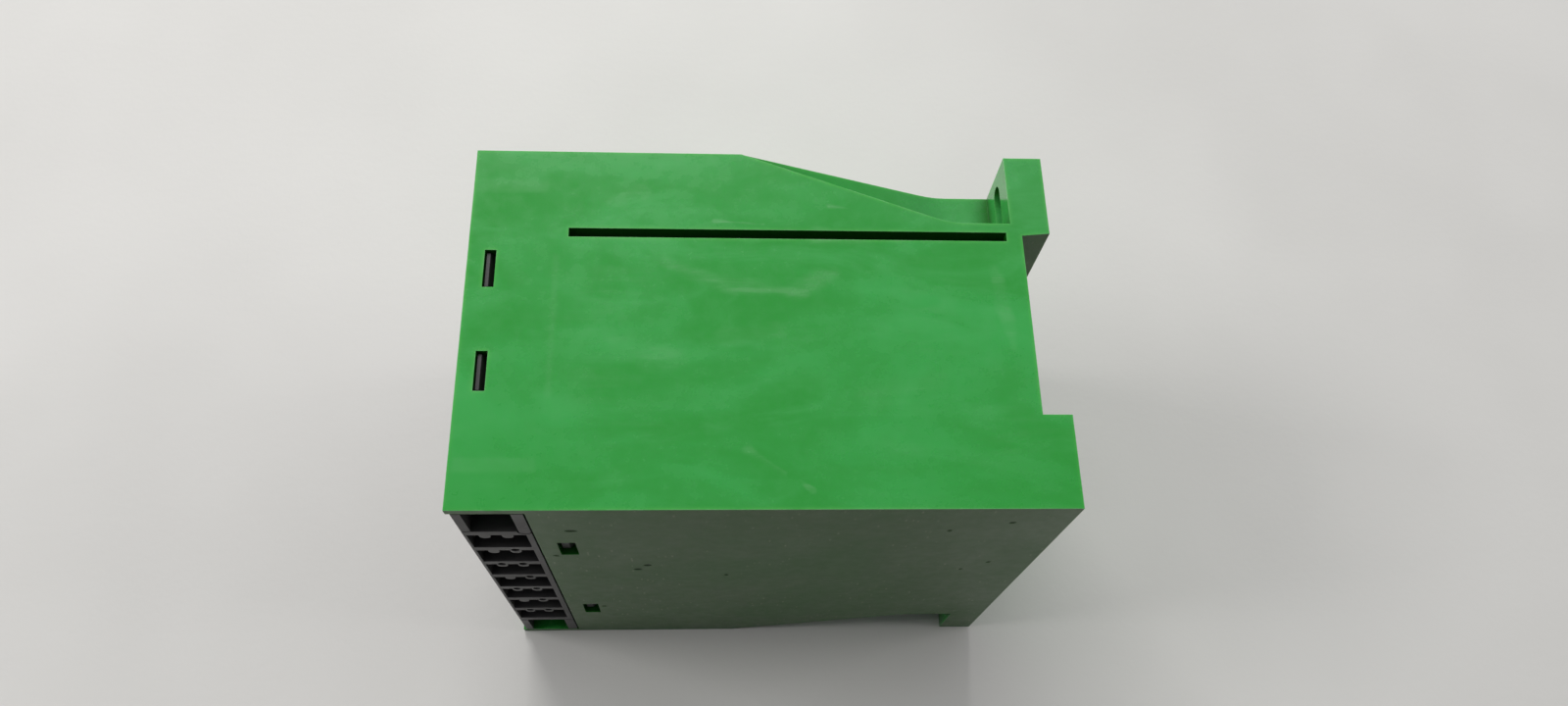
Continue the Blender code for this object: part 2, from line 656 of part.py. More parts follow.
def make_boards():
    ends = (WALL + 1.0, WIDTH - WALL - 1.0)
    front_low = (FRONT_BOARD, 4.6, ends[0])
    front = block("front_board", front_low, (FRONT_BOARD + BOARD, HEIGHT - 4.6, ends[1]), "board")
    reach = PIN / 2 + GAP
    for index, z in enumerate(PINS_Z):
        for side, y in (("near", PIN_TURN), ("far", HEIGHT - PIN_TURN)):
            low = (FRONT_BOARD - 2, y - reach, z - reach)
            high = (FRONT_BOARD + BOARD + 2, y + reach, z + reach)
            cut(front, block(f"board_hole_{side}_{index}", low, high))
    inner = (WALL + 0.5, WIDTH - WALL - 0.5)
    for name, y in (("power_board", POWER_BOARD), ("control_board", CONTROL_BOARD)):
        block(name, (BOARD_ENDS[0], y, inner[0]), (BOARD_ENDS[1], y + BOARD, inner[1]), "board")
        low = (FRONT_BOARD + BOARD + GAP, y + BOARD + GAP, 30.0)
        high = (26.0, y + BOARD + GAP + 3.4, WIDTH - 30.0)
        link = block(name.replace("board", "link"), low, high, "frame_plastic")
        soften(link, 0.4)


def make_power_parts():
    """Varistors, snubber capacitors and snubber resistors stand on the near face of the power board."""
    foot = POWER_BOARD - GAP
    for index, z in enumerate(POWER_ROWS):
        number = index + 1
        disc_y = foot - 8.6
        disc = [(0, 2.2), (5.4, 2.2), (6.5, 1.3), (6.5, -1.3), (5.4, -2.2), (0, -2.2)]
        place = (VARISTOR_X, disc_y, z)
        varistor = turned(f"varistor_{number}", disc, place, (1, 0, 0), "varistor_resin", 24)
        for end in (-1, 1):
            leg_z = z + 3.2 * end
            run = [(VARISTOR_X, disc_y + 3, leg_z), (VARISTOR_X, foot, leg_z)]
            join(varistor, wire(f"varistor_leg_{number}_{end + 1}", run, LEG_RADIUS))
        low = (CAPACITOR_X[0], foot - 11, z - 6.5)
        high = (CAPACITOR_X[1], foot, z + 6.5)
        capacitor = block(f"snubber_capacitor_{number}", low, high, "capacitor_resin")
        soften(capacitor, 0.8, 2)
        body_y = foot - 3.2
        shape = [(0, 5.5), (1.8, 5.5), (2.1, 5.1), (2.1, 3.9), (1.9, 3.5), (1.9, -3.5), (2.1, -3.9)]
        shape.extend([(2.1, -5.1), (1.8, -5.5), (0, -5.5)])
        place = (RESISTOR_X, body_y, z)
        resistor = turned(f"snubber_resistor_{number}", shape, place, (0, 0, 1), "resistor_ceramic", 16)
        ends = (z - 8, z + 8)
        lead = [(RESISTOR_X, foot, ends[0]), (RESISTOR_X, body_y, ends[0])]
        lead.extend([(RESISTOR_X, body_y, ends[1]), (RESISTOR_X, foot, ends[1])])
        join(resistor, wire(f"resistor_lead_{number}", lead, LEG_RADIUS))


def make_control_parts():
    foot = CONTROL_BOARD + BOARD + GAP
    low_x, high_x = OPTOCOUPLER_X
    for index, z in enumerate(OPTOCOUPLER_ROWS):
        name = f"optocoupler_{index + 1}"
        body = block(name, (low_x, foot + 0.8, z - 3.2), (high_x, foot + 4.2, z + 3.2), "module_resin")
        soften(body, 0.3)
        for leg in range(3):
            for end in (-1, 1):
                x = (low_x + high_x) / 2 + LEG_PITCH * (leg - 1)
                edge = z + end * 3.9
                points = [
                    (foot, edge - 0.35 * end),
                    (foot, edge),
                    (foot + 2.7, edge),
                    (foot + 2.7, z),
                    (foot + 2.3, z),
                    (foot + 2.3, edge - 0.35 * end),
                ]
                join(body, outline(f"{name}_leg_{leg}_{end + 1}", points, "YZ", x - 0.3, x + 0.3))
    can = [(0, 13.0), (4.2, 13.0), (4.9, 12.4), (5, 2.6), (4.6, 2.1), (4.6, 1.7), (5, 1.2), (5, 0), (0, 0)]
    x, z = SUPPLY_CAPACITOR
    turned("supply_capacitor", can, (x, foot, z), (0, 1, 0), "module_resin", 24)


# ---------------------------------------------------------------- switching stage


def sink_outline():
    """The comb of the extruded sink in the YZ plane: a base plate and nine fins."""
    pitch = (FINS[1] - FINS[0] - FIN) / (FIN_COUNT - 1)
    points = [(PLATE[0], SINK_EDGES[0]), (PLATE[1], SINK_EDGES[0])]
    for fin in range(FIN_COUNT):
        edge = FINS[0] + fin * pitch
        points.extend([(PLATE[1], edge), (FIN_TIP, edge), (FIN_TIP, edge + FIN), (PLATE[1], edge + FIN)])
    points.extend([(PLATE[1], SINK_EDGES[1]), (PLATE[0], SINK_EDGES[1])])
    return points


def make_switching_stage():
    sink = outline("heat_sink", sink_outline(), "YZ", *SINK_ENDS, "aluminium")
    (low_x, high_x), (low_y, high_y), width = MODULE
    half_lead, half_width = LEAD[0] / 2, LEAD[1] / 2
    hole, sink_hole = SCREW_HOLE
    pad_low = (low_x - 2, high_y + GAP, MODULE_ROWS[0] - width / 2 - 2)
    pad_high = (high_x + 2, PLATE[0] - GAP, MODULE_ROWS[-1] + width / 2 + 2)
    pad = block("insulating_pad", pad_low, pad_high, "pad_rubber")
    for index, z in enumerate(MODULE_ROWS):
        number = index + 1
        name = f"power_module_{number}"
        module = block(name, (low_x, low_y, z - width / 2), (high_x, high_y, z + width / 2), "module_resin")
        soften(module, 0.4)
        for lead in (-1, 0, 1):
            middle = z + lead * LEAD_PITCH
            turn_x = low_x - 4.0
            lead_y = (low_y + high_y) / 2
            board_y = POWER_BOARD + BOARD + GAP
            points = [
                (low_x + 1, lead_y + half_lead),
                (turn_x - LEAD[0], lead_y + half_lead),
                (turn_x - LEAD[0], board_y),
                (turn_x, board_y),
                (turn_x, lead_y - half_lead),
                (low_x + 1, lead_y - half_lead),
            ]
            ends = (middle - half_width, middle + half_width)
            join(module, outline(f"{name}_lead_{lead + 1}", points, "XY", *ends))
        hole_y = (low_y + high_y) / 2
        cut(module, rod(f"{name}_hole", (MODULE_HOLE, hole_y, z), hole, 20, (0, 1, 0), sides=16))
        cut(pad, rod(f"pad_hole_{number}", (MODULE_HOLE, hole_y, z), hole, 20, (0, 1, 0), sides=16))
        cut(sink, rod(f"sink_hole_{number}", (MODULE_HOLE, PLATE[0], z), sink_hole, 6, (0, 1, 0), sides=16))
        head = low_y - GAP
        profile = [(0, 1.9), (1.6, 1.8), (2.4, 1.3), (2.7, 0.6), (2.7, 0), (1.3, 0), (1.3, -8.0), (0, -8.3)]
        seat = (MODULE_HOLE, head, z)
        screw = turned(f"module_screw_{number}", profile, seat, (0, -1, 0), "spring_steel", 16)
        for way, size in (("a", (1.3, 0.25)), ("b", (0.25, 1.3))):
            low = (MODULE_HOLE - size[0], head - 4, z - size[1])
            high = (MODULE_HOLE + size[0], head - 0.9, z + size[1])
            cut(screw, block(f"screw_cross_{number}_{way}", low, high))


make_housing()
make_catch()
front_frame = make_frame()
for side in ("near", "far"):
    seat = make_header(side, front_frame)
    for pole, pin_z in enumerate(PINS_Z):
        make_pin(f"contact_pin_{side}_{pole + 1}", pin_z, seat)
make_cover()
make_boards()
make_power_parts()
make_control_parts()
make_switching_stage()
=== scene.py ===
import json
import math

import bpy
from mathutils import Matrix, Vector


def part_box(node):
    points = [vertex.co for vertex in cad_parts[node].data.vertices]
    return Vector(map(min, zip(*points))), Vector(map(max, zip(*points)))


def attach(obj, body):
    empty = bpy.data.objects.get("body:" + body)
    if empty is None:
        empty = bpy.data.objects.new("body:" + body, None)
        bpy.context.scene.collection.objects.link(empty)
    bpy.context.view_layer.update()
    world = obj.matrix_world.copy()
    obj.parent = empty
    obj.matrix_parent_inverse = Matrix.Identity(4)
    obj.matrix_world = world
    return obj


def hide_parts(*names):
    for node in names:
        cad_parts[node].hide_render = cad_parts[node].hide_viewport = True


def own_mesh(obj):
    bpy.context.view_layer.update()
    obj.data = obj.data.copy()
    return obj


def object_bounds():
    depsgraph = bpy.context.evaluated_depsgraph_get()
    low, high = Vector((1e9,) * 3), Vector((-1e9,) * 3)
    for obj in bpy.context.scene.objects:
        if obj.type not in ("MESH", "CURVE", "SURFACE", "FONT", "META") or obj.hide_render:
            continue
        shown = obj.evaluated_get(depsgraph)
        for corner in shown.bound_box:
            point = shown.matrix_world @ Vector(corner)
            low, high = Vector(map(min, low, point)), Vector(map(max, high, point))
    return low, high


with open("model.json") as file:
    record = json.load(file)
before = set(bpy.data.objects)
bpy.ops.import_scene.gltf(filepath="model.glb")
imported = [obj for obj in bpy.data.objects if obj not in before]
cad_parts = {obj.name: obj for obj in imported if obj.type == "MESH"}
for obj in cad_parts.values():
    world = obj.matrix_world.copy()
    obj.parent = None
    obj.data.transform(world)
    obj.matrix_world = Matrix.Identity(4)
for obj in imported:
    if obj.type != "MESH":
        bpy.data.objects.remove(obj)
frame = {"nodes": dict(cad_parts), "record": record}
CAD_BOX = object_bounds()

MM = 0.001
NODES = frame["nodes"]
LOW = Vector(CAD_BOX[0])
HIGH = Vector(CAD_BOX[1])
MIDDLE = (LOW + HIGH) / 2

# Camera: where it stands from the middle of the relay's foot, and how it is turned.
CAMERA_PLACE = Vector((-10.18, -93.07, 291.98)) * MM
CAMERA_AZIMUTH = math.radians(-8.72)
CAMERA_ELEVATION = math.radians(65.58)
CAMERA_ROLL = math.radians(8.23)
CAMERA_LENS = 27.59

# Brightness of the room behind the camera and beyond the relay.
DARK_SIDE = 0.03
BRIGHT_SIDE = 0.5

# Colours of the housing: the plastic, then what lies on it or is cut into it, and the painted highlight, sheen
# and shade.
GREEN = (0.025, 0.342, 0.057)
GREEN_PALE = (0.052, 0.375, 0.088)
GREEN_DEEP = (0.014, 0.280, 0.028)
# Painted highlight along the edges.
EDGE_HIGHLIGHT_GREEN = (0.075, 0.400, 0.060)
SCUFF = (0.30, 0.56, 0.33)
# Painted shade on the near wall: duller and darker than the other walls.
NEAR_WALL_SHADE = (0.036, 0.044, 0.006)
# Painted shade in hollows and recesses.
HOLLOW_SHADE_GREEN = (0.006, 0.110, 0.004)
# Painted whitish sheen on what faces up.
SHEEN_WHITE = (0.30, 0.42, 0.36)
DUST = (0.38, 0.43, 0.28)
DENT = (0.008, 0.022, 0.008)


def at(depth, across, up):
    """A place on the relay in millimetres from its front, near and lower corner."""
    return LOW + Vector((depth, across, up)) * MM


# ---------------------------------------------------------------- node graphs


class Graph:
    """A short way to write a material's nodes."""

    def __init__(self, name):
        self.material = bpy.data.materials.new(name)
        self.material.use_nodes = True
        self.tree = self.material.node_tree
        self.shader = self.tree.nodes["Principled BSDF"]
        self.place = self.node("ShaderNodeTexCoord").outputs["Object"]

    def node(self, kind, **settings):
        made = self.tree.nodes.new(kind)
        for key, value in settings.items():
            setattr(made, key, value)
        return made

    def feed(self, socket, value):
        if isinstance(value, bpy.types.NodeSocket):
            self.tree.links.new(value, socket)
        elif isinstance(value, tuple) and len(value) == 3 and socket.type == "RGBA":
            socket.default_value = (*value, 1.0)
        else:
            socket.default_value = value

    def math(self, operation, *values, clamp=False):
        made = self.node("ShaderNodeMath", operation=operation, use_clamp=clamp)
        for socket, value in zip(made.inputs, values):
            self.feed(socket, value)
        return made.outputs[0]

    def vector(self, operation, *values):
        made = self.node("ShaderNodeVectorMath", operation=operation)
        for socket, value in zip(made.inputs, values):
            self.feed(socket, value)
        return made.outputs["Value" if operation in ("DOT_PRODUCT", "LENGTH") else "Vector"]

    def stretched(self, scale, turn=(0.0, 0.0, 0.0)):
        made = self.node("ShaderNodeMapping")
        self.feed(made.inputs["Vector"], self.place)
        made.inputs["Scale"].default_value = scale
        made.inputs["Rotation"].default_value = turn
        return made.outputs["Vector"]

    def noise(self, scale, detail=3.0, rough=0.55, place=None, distortion=0.0):
        made = self.node("ShaderNodeTexNoise")
        self.feed(made.inputs["Vector"], place or self.place)
        made.inputs["Scale"].default_value = scale
        made.inputs["Detail"].default_value = detail
        made.inputs["Roughness"].default_value = rough
        made.inputs["Distortion"].default_value = distortion
        return made.outputs["Fac"]

    def cells(self, scale, feature="F1", place=None, output="Distance"):
        made = self.node("ShaderNodeTexVoronoi", feature=feature)
        self.feed(made.inputs["Vector"], place or self.place)
        made.inputs["Scale"].default_value = scale
        return made.outputs[output]

    def ramp(self, value, low, high, to_low=0.0, to_high=1.0):
        made = self.node("ShaderNodeMapRange", interpolation_type="SMOOTHSTEP")
        for socket, number in zip(made.inputs, (value, low, high, to_low, to_high)):
            self.feed(socket, number)
        return made.outputs[0]

    def mix(self, amount, first, second):
        made = self.node("ShaderNodeMix", data_type="RGBA")
        self.feed(made.inputs[0], amount)
        self.feed(made.inputs[6], first)
        self.feed(made.inputs[7], second)
        return made.outputs[2]

    def axis(self, name, of="place"):
        made = self.node("ShaderNodeSeparateXYZ")
        source = self.place if of == "place" else self.node("ShaderNodeNewGeometry").outputs["Normal"]
        self.feed(made.inputs[0], source)
        return made.outputs[name]

    def band(self, value, low, high, soft):
        """1 between low and high, fading over soft."""
        rise = self.ramp(value, low - soft, low + soft)
        fall = self.ramp(value, high - soft, high + soft, 1.0, 0.0)
        return self.math("MULTIPLY", rise, fall)

    def edges(self, radius, samples=6):
        """How sharply the surface turns nearby: 0 on a flat, towards 1 on an edge."""
        bevel = self.node("ShaderNodeBevel", samples=samples)
        bevel.inputs["Radius"].default_value = radius
        normal = self.node("ShaderNodeNewGeometry").outputs["Normal"]
        facing = self.vector("DOT_PRODUCT", bevel.outputs[0], normal)
        return self.math("SUBTRACT", 1.0, facing, clamp=True)

    def hidden(self, reach):
        """How much the surroundings within reach close over the surface: 0 in the open, 1 deep in a hole."""
        made = self.node("ShaderNodeAmbientOcclusion", samples=6)
        made.inputs["Distance"].default_value = reach
        return self.math("SUBTRACT", 1.0, made.outputs["AO"], clamp=True)

    def bump(self, height, distance, strength=1.0, normal=None):
        made = self.node("ShaderNodeBump")
        self.feed(made.inputs["Height"], height)
        made.inputs["Distance"].default_value = distance
        made.inputs["Strength"].default_value = strength
        if normal:
            self.feed(made.inputs["Normal"], normal)
        return made.outputs[0]

    def finish(self, colour, roughness, normal=None, **settings):
        self.feed(self.shader.inputs["Base Color"], colour)
        self.feed(self.shader.inputs["Roughness"], roughness)
        if normal:
            self.feed(self.shader.inputs["Normal"], normal)
        for key, value in settings.items():
            self.shader.inputs[key.replace("_", " ")].default_value = value
        return self.material


# ---------------------------------------------------------------- materials


# Rubs and smears on the upper side wall: both ends (depth, across), width and strength, in millimetres.
RUBS = (
    ((36.0, 46.5), (48.0, 41.5), 2.6, 0.30),
    ((46.0, 42.0), (60.0, 40.5), 2.2, 0.34),
    ((58.0, 41.0), (66.0, 44.5), 2.4, 0.22),
    ((25.5, 59.3), (30.5, 61.5), 0.8, 0.14),
    ((44.5, 55.3), (53.5, 54.7), 0.6, 0.70),
    ((66.0, 58.8), (80.0, 56.8), 0.9, 0.36),
    ((54.6, 8.9), (61.1, 3.4), 0.6, 0.30),
    ((50.5, 10.5), (56.5, 6.5), 1.2, 0.22),
    ((3.0, 38.8), (4.9, 35.9), 0.35, 0.60),
    ((63.0, 52.5), (79.0, 51.3), 2.2, 0.26),
    ((27.0, 30.5), (38.0, 27.0), 3.0, 0.16),
    ((47.0, 31.5), (55.0, 33.0), 2.6, 0.16),
    ((71.0, 20.0), (84.0, 23.0), 3.2, 0.12),
    ((96.0, 46.0), (98.0, 30.0), 1.6, 0.20),
)
# Sink marks on the same wall: where each starts and ends in depth, then across.
SINKS = ((0.5, 13.7, 61.0, 63.6), (0.8, 14.5, 6.6, 9.2), (15.4, 16.4, 20.0, 48.0), (84.0, 96.0, 57.0, 58.2))
# Dents in the near wall: depth, height, half length along the wall, strength.
DENTS = (
    (19.7, 86.5, 1.3, 0.9),
    (29.9, 59.2, 1.0, 1.0),
    (31.9, 62.2, 0.9, 1.0),
    (47.2, 54.2, 0.5, 0.7),
    (15.3, 69.9, 0.7, 0.7),
    (96.7, 90.6, 0.8, 0.7),
    (86.5, 85.7, 0.5, 0.6),
    (98.3, 63.2, 0.6, 0.6),
    (93.9, 57.8, 0.5, 0.5),
    (20.9, 26.4, 0.8, 0.6),
)
TOP = (HIGH.z - LOW.z) / MM


def green_plastic(g, clouds, fine):
    """The moulded colour: slow clouds, a streaky haze and a fine mottling."""
    colour = g.mix(g.ramp(clouds, 0.36, 0.66), GREEN_DEEP, GREEN)
    haze = g.noise(48.0, 5.0, 0.62, g.stretched((0.7, 2.2, 1.0), (0.0, 0.0, 0.15)), 1.2)
    haze = g.ramp(haze, 0.46, 0.76)
    colour = g.mix(g.math("MULTIPLY", haze, 0.5), colour, GREEN_PALE)
    return g.mix(g.math("MULTIPLY", g.ramp(fine, 0.4, 0.7), 0.10), colour, GREEN_PALE)


def painted_edge_highlight(g, colour):
    """A painted highlight: a paler, yellower band where the walls end."""
    turning = g.ramp(g.edges(0.0014), 0.0, 0.12)
    highlight_amount = g.math("MULTIPLY", turning, g.ramp(g.noise(140.0, 3.0), 0.32, 0.62, 0.45, 1.0))
    return g.mix(g.math("MULTIPLY", highlight_amount, 0.55), colour, EDGE_HIGHLIGHT_GREEN)


def top_sheen_and_corner_shade(g, colour, x, y, facing_up):
    """A painted whitish sheen on what faces up, stronger towards the ear, and painted shade (deeper green) at
    the near corners.
    """
    towards_rail = g.ramp(x, at(50.0, 0, 0).x, at(104.0, 0, 0).x)
    towards_ear = g.ramp(y, at(0, 40.0, 0).y, at(0, 66.0, 0).y)
    sheen = g.ramp(g.math("MULTIPLY", towards_rail, towards_ear), 0.0, 1.0, 0.022, 0.085)
    colour = g.mix(g.math("MULTIPLY", sheen, facing_up), colour, SHEEN_WHITE)
    # Painted shade: deeper green towards the near corners.
    ends = g.ramp(g.math("ABSOLUTE", x), 0.018, 0.046)
    corners = g.math("MULTIPLY", ends, g.ramp(y, -0.034, -0.010, 1.0, 0.0))
    return g.mix(g.math("MULTIPLY", corners, 0.5), colour, GREEN_DEEP)


def stroke_mask(g, start, end, width, strength, wander):
    """A soft stroke from start to end, with an outline that wanders."""
    along = end - start
    offset = g.vector("SUBTRACT", g.place, tuple(start))
    share = g.math("DIVIDE", g.vector("DOT_PRODUCT", offset, tuple(along)), along.length_squared, clamp=True)
    scaled = g.node("ShaderNodeVectorMath", operation="SCALE")
    scaled.inputs[0].default_value = along
    g.feed(scaled.inputs["Scale"], share)
    away = g.vector("LENGTH", g.vector("SUBTRACT", offset, scaled.outputs[0]))
    away = g.math("ADD", away, wander)
    return g.ramp(away, width * 0.1 * MM, width * MM, strength, 0.0)


def smear_mask(g, upper):
    """The rubs on the upper wall, broken up by a streaky noise, with a few loose streaks anywhere."""
    streaks = g.noise(260.0, 4.0, 0.65, g.stretched((0.25, 1.6, 1.0), (0.0, 0.0, -0.2)), 0.8)
    broken = g.ramp(streaks, 0.40, 0.66)
    wander = g.math("MULTIPLY", g.math("SUBTRACT", g.noise(70.0, 2.0), 0.5), 0.006)
    smears = 0.0
    for (x1, y1), (x2, y2), width, strength in RUBS:
        stroke = stroke_mask(g, at(x1, y1, TOP), at(x2, y2, TOP), width, strength, wander)
        smears = g.math("MAXIMUM", smears, stroke)
    smears = g.math("MULTIPLY", g.math("MULTIPLY", smears, upper), g.ramp(broken, 0.0, 1.0, 0.35, 1.0))
    loose = g.math("MULTIPLY", broken, g.ramp(g.noise(22.0, 2.0), 0.52, 0.72))
    return g.math("MAXIMUM", smears, g.math("MULTIPLY", loose, 0.12))


def sink_marks(g, smears, x, y, upper):
    """The smears with the faint sink marks added."""
    for low_x, high_x, low_y, high_y in SINKS:
        low, high = at(low_x, low_y, 0), at(high_x, high_y, 0)
        mark = g.math("MULTIPLY", g.band(x, low.x, high.x, 0.0005), g.band(y, low.y, high.y, 0.0005))
        smears = g.math("ADD", smears, g.math("MULTIPLY", g.math("MULTIPLY", mark, upper), 0.09))
    return smears


def dust_mask(g, wall):
    """Dust on the upright walls: lone upright flecks and a thin veil."""
    place = g.stretched((1.0, 1.0, 0.30))
    chance = g.vector("DOT_PRODUCT", g.cells(900.0, place=place, output="Color"), (1.0, 0.0, 0.0))
    flecks = g.ramp(g.cells(900.0, place=place), 0.06, 0.26, 1.6, 0.0)
    dust = g.math("MULTIPLY", flecks, g.ramp(chance, 0.50, 0.56))
    patches = g.ramp(g.noise(55.0, 2.0), 0.40, 0.62, 0.15, 1.0)
    dust = g.math("MULTIPLY", g.math("MULTIPLY", dust, wall), patches)
    veil = g.ramp(g.noise(700.0, 2.0, 0.6, place), 0.40, 0.80)
    return g.math("MAXIMUM", dust, g.math("MULTIPLY", g.math("MULTIPLY", veil, wall), 0.12))


def dent_mask(g):
    """The dents in the near wall, each a short level gouge with a ragged outline."""
    dents = 0.0
    ragged = g.math("MULTIPLY", g.noise(900.0, 3.0), 0.0009)
    for depth, up, half, strength in DENTS:
        offset = g.vector("SUBTRACT", g.place, tuple(at(depth, 0.0, up)))
        offset = g.vector("MULTIPLY", offset, (1.0 / half, 1.0, 1.1))
        away = g.math("ADD", g.vector("LENGTH", offset), ragged)
        dents = g.math("MAXIMUM", dents, g.ramp(away, 0.0008, 0.0015, strength, 0.0))
    return dents


def housing_material():
    """Green moulded plastic: cloudy colour, a painted highlight along the edges, a painted whitish sheen on
    what faces up, smears, sink marks, painted shade on the near wall, dust, dents and painted shade in the
    hollows.
    """
    g = Graph("green_housing")
    x, y, z = g.axis("X"), g.axis("Y"), g.axis("Z")
    normal_x, normal_y, normal_z = g.axis("X", "normal"), g.axis("Y", "normal"), g.axis("Z", "normal")
    upper = g.math("MULTIPLY", g.ramp(normal_z, 0.9, 0.98), g.ramp(z, HIGH.z - 0.0018, HIGH.z - 0.0008))
    wall = g.ramp(g.math("ABSOLUTE", normal_y), 0.9, 0.98)
    near_side = g.ramp(g.math("MULTIPLY", normal_y, -1.0), 0.5, 0.95)
    ends = g.ramp(g.math("ABSOLUTE", normal_x), 0.9, 0.98)
    clouds = g.noise(26.0, 4.0, 0.6, g.stretched((1.0, 1.7, 1.0)), 0.6)
    fine = g.noise(420.0, 3.0, 0.6)

    # Painted highlight along the edges of the walls.
    colour = painted_edge_highlight(g, green_plastic(g, clouds, fine))
    # Painted whitish sheen on what faces up, and painted shade at the near corners.
    colour = top_sheen_and_corner_shade(g, colour, x, y, g.ramp(normal_z, 0.5, 0.9))
    smears = sink_marks(g, smear_mask(g, upper), x, y, upper)
    uneven = g.ramp(g.noise(160.0, 3.0), 0.36, 0.60, 0.1, 1.0)
    rub = g.math("MULTIPLY", g.ramp(g.edges(0.0004), 0.02, 0.25), uneven)
    marks = g.math("ADD", g.math("MULTIPLY", smears, 0.5), g.math("MULTIPLY", rub, 0.5), clamp=True)
    colour = g.mix(marks, colour, SCUFF)
    # Painted shade: the near wall is mixed towards a duller, darker green.
    colour = g.mix(g.math("MULTIPLY", near_side, 0.72), colour, NEAR_WALL_SHADE)
    colour = g.mix(g.math("MULTIPLY", dust_mask(g, wall), 0.22), colour, DUST)
    # Painted shade: hollows and recesses darkened towards a deep green.
    colour = g.mix(g.ramp(g.hidden(0.0045), 0.0, 0.5, 0.0, 0.96), colour, HOLLOW_SHADE_GREEN)
    dents = dent_mask(g)
    colour = g.mix(g.math("MULTIPLY", dents, 0.85), colour, DENT)

    # Smears, fine grain, the near wall and dents are rougher; faces square to the length are glossier.
    rough = g.ramp(clouds, 0.3, 0.7, 0.20, 0.29)
    rough = g.math("ADD", rough, g.math("MULTIPLY", marks, 0.16))
    rough = g.math("ADD", rough, g.math("MULTIPLY", g.ramp(fine, 0.3, 0.7), 0.05))
    rough = g.math("ADD", rough, g.math("MULTIPLY", near_side, 0.14))
    rough = g.math("ADD", rough, g.math("MULTIPLY", dents, 0.55), clamp=True)
    rough = g.math("SUBTRACT", rough, g.math("MULTIPLY", ends, 0.13))
    normal = g.bump(g.noise(2600.0, 2.0, 0.6), 0.00002, 0.30)
    normal = g.bump(g.noise(90.0, 2.0), 0.00020, 0.20, normal)
    normal = g.bump(g.math("SUBTRACT", 0.0, dents), 0.0002, 0.8, normal)
    return g.finish(
        colour,
        rough,
        normal,
        Specular_IOR_Level=0.42,
        Subsurface_Weight=0.15,
        Subsurface_Radius=(0.2, 1.0, 0.25),
        Subsurface_Scale=0.0014,
    )


def black_plastic(name, dark, light, rough):
    """Black moulded plastic with a fine spark-eroded grain, dust in places, greyed edges and painted shade in
    its hollows.
    """
    g = Graph(name)
    clouds = g.noise(60.0, 4.0, 0.6)
    colour = g.mix(g.ramp(clouds, 0.35, 0.7), dark, light)
    rub = g.ramp(g.edges(0.0006), 0.02, 0.3)
    colour = g.mix(g.math("MULTIPLY", rub, 0.4), colour, tuple(3.2 * c for c in light))
    specks = g.ramp(g.cells(700.0), 0.08, 0.2, 1.0, 0.0)
    few = g.ramp(g.noise(300.0, 1.0), 0.60, 0.66)
    colour = g.mix(g.math("MULTIPLY", g.math("MULTIPLY", specks, few), 0.3), colour, (0.25, 0.24, 0.22))
    # Painted shade: hollows and recesses darkened.
    colour = g.mix(g.ramp(g.hidden(0.004), 0.0, 0.7, 0.0, 0.9), colour, tuple(0.2 * c for c in dark))
    normal = g.bump(g.noise(3200.0, 2.0), 0.00002, 0.5)
    roughness = g.ramp(clouds, 0.3, 0.7, rough - 0.05, rough + 0.07)
    return g.finish(colour, roughness, normal, Specular_IOR_Level=0.5)


def cover_material():
    """Dark, slightly scratched plastic with a weak gloss coat."""
    g = Graph("smoked_cover")
    clouds = g.noise(45.0, 3.0)
    colour = g.mix(g.ramp(clouds, 0.35, 0.7), (0.030, 0.032, 0.034), (0.045, 0.047, 0.05))
    scratches = g.noise(260.0, 3.0, 0.6, g.stretched((1.0, 0.12, 1.6), (0.3, 0.0, 0.0)))
    scratches = g.ramp(scratches, 0.66, 0.76)
    colour = g.mix(g.math("MULTIPLY", scratches, 0.18), colour, (0.2, 0.2, 0.2))
    rub = g.ramp(g.edges(0.0005), 0.02, 0.3)
    colour = g.mix(g.math("MULTIPLY", rub, 0.3), colour, (0.18, 0.18, 0.18))
    normal = g.bump(g.noise(2400.0, 2.0), 0.000015, 0.3)
    roughness = g.math("ADD", g.ramp(clouds, 0.3, 0.7, 0.22, 0.32), g.math("MULTIPLY", scratches, 0.2))
    return g.finish(colour, roughness, normal, Coat_Weight=0.2, Coat_Roughness=0.2)


def strip_material():
    """The blank marking strip: matt, off-white plastic."""
    g = Graph("marking_strip")
    clouds = g.noise(120.0, 4.0, 0.6)
    colour = g.mix(g.ramp(clouds, 0.35, 0.7), (0.70, 0.69, 0.63), (0.80, 0.79, 0.74))
    normal = g.bump(g.noise(3000.0, 2.0), 0.00001, 0.4)
    return g.finish(colour, g.ramp(clouds, 0.3, 0.7, 0.42, 0.55), normal)


def lens_material():
    """Clear red plastic of the status lamps and their light guides."""
    g = Graph("red_lens")
    clouds = g.noise(500.0, 2.0)
    colour = g.mix(clouds, (0.55, 0.035, 0.02), (0.78, 0.07, 0.04))
    normal = g.bump(g.noise(1500.0, 2.0), 0.00001, 0.3)
    return g.finish(colour, g.ramp(clouds, 0.3, 0.7, 0.10, 0.18), normal, Transmission_Weight=0.35, IOR=1.49)


def metal(name, dark, light, rough, scale=400.0, stretch=(1.0, 1.0, 1.0), tarnish=0.3):
    """Plated or bare metal with fine brushing along one way and dull patches."""
    g = Graph(name)
    brush = g.noise(scale, 4.0, 0.7, g.stretched(stretch))
    patches = g.ramp(g.noise(110.0, 3.0), 0.45, 0.7)
    colour = g.mix(g.ramp(brush, 0.35, 0.65), dark, light)
    colour = g.mix(g.math("MULTIPLY", patches, tarnish), colour, tuple(0.6 * c for c in dark))
    roughness = g.ramp(brush, 0.3, 0.7, rough - 0.06, rough + 0.08)
    roughness = g.math("ADD", roughness, g.math("MULTIPLY", patches, 0.1))
    return g.finish(colour, roughness, g.bump(brush, 0.00002, 0.4), Metallic=1.0)


